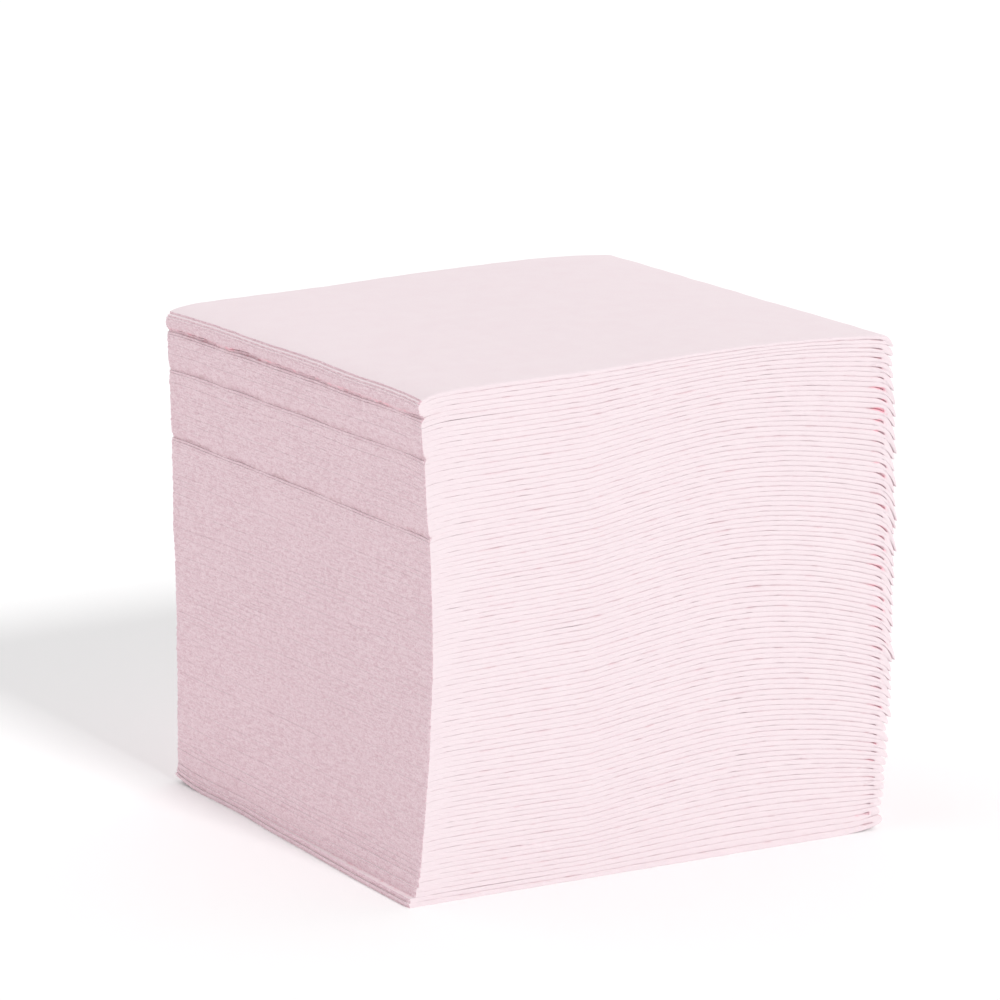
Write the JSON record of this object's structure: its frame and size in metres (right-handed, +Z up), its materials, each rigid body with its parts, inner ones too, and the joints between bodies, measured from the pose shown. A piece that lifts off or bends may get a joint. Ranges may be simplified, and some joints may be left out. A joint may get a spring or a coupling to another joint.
{
  "type": "stack of paper napkins",
  "caption": "Free-standing square stack of plain soft paper napkins, each folded twice into a quarter of its sheet, cut edges on two sides and folds on the other two.",
  "frame": {"origin": "on the surface that the stack rests on, below the middle of the stack", "axes": "+Z up through the stack, +X towards the side of the second folds, -Y towards the side of the spines"},
  "size_m": [0.1304, 0.129, 0.1238],
  "materials": {
    "napkin_paper": "matte uncoated airlaid tissue, pale pink, soft and slightly fibrous"
  },
  "bodies": {
    "root": {"napkin_01": "napkin_paper", "napkin_02": "napkin_paper", "napkin_03": "napkin_paper", "napkin_04": "napkin_paper", "napkin_05": "napkin_paper", "napkin_06": "napkin_paper", "napkin_07": "napkin_paper", "napkin_08": "napkin_paper", "napkin_09": "napkin_paper", "napkin_10": "napkin_paper", "napkin_11": "napkin_paper", "napkin_12": "napkin_paper", "napkin_13": "napkin_paper", "napkin_14": "napkin_paper", "napkin_15": "napkin_paper", "napkin_16": "napkin_paper", "napkin_17": "napkin_paper", "napkin_18": "napkin_paper", "napkin_19": "napkin_paper", "napkin_20": "napkin_paper", "napkin_21": "napkin_paper", "napkin_22": "napkin_paper", "napkin_23": "napkin_paper", "napkin_24": "napkin_paper", "napkin_25": "napkin_paper", "napkin_26": "napkin_paper", "napkin_27": "napkin_paper", "napkin_28": "napkin_paper", "napkin_29": "napkin_paper", "napkin_30": "napkin_paper", "napkin_31": "napkin_paper", "napkin_32": "napkin_paper", "napkin_33": "napkin_paper", "napkin_34": "napkin_paper", "napkin_35": "napkin_paper", "napkin_36": "napkin_paper", "napkin_37": "napkin_paper", "napkin_38": "napkin_paper", "napkin_39": "napkin_paper", "napkin_40": "napkin_paper", "napkin_41": "napkin_paper", "napkin_42": "napkin_paper", "napkin_43": "napkin_paper", "napkin_44": "napkin_paper", "napkin_45": "napkin_paper", "napkin_46": "napkin_paper", "napkin_47": "napkin_paper", "napkin_48": "napkin_paper", "napkin_49": "napkin_paper", "napkin_50": "napkin_paper"}
  },
  "joints": []
}
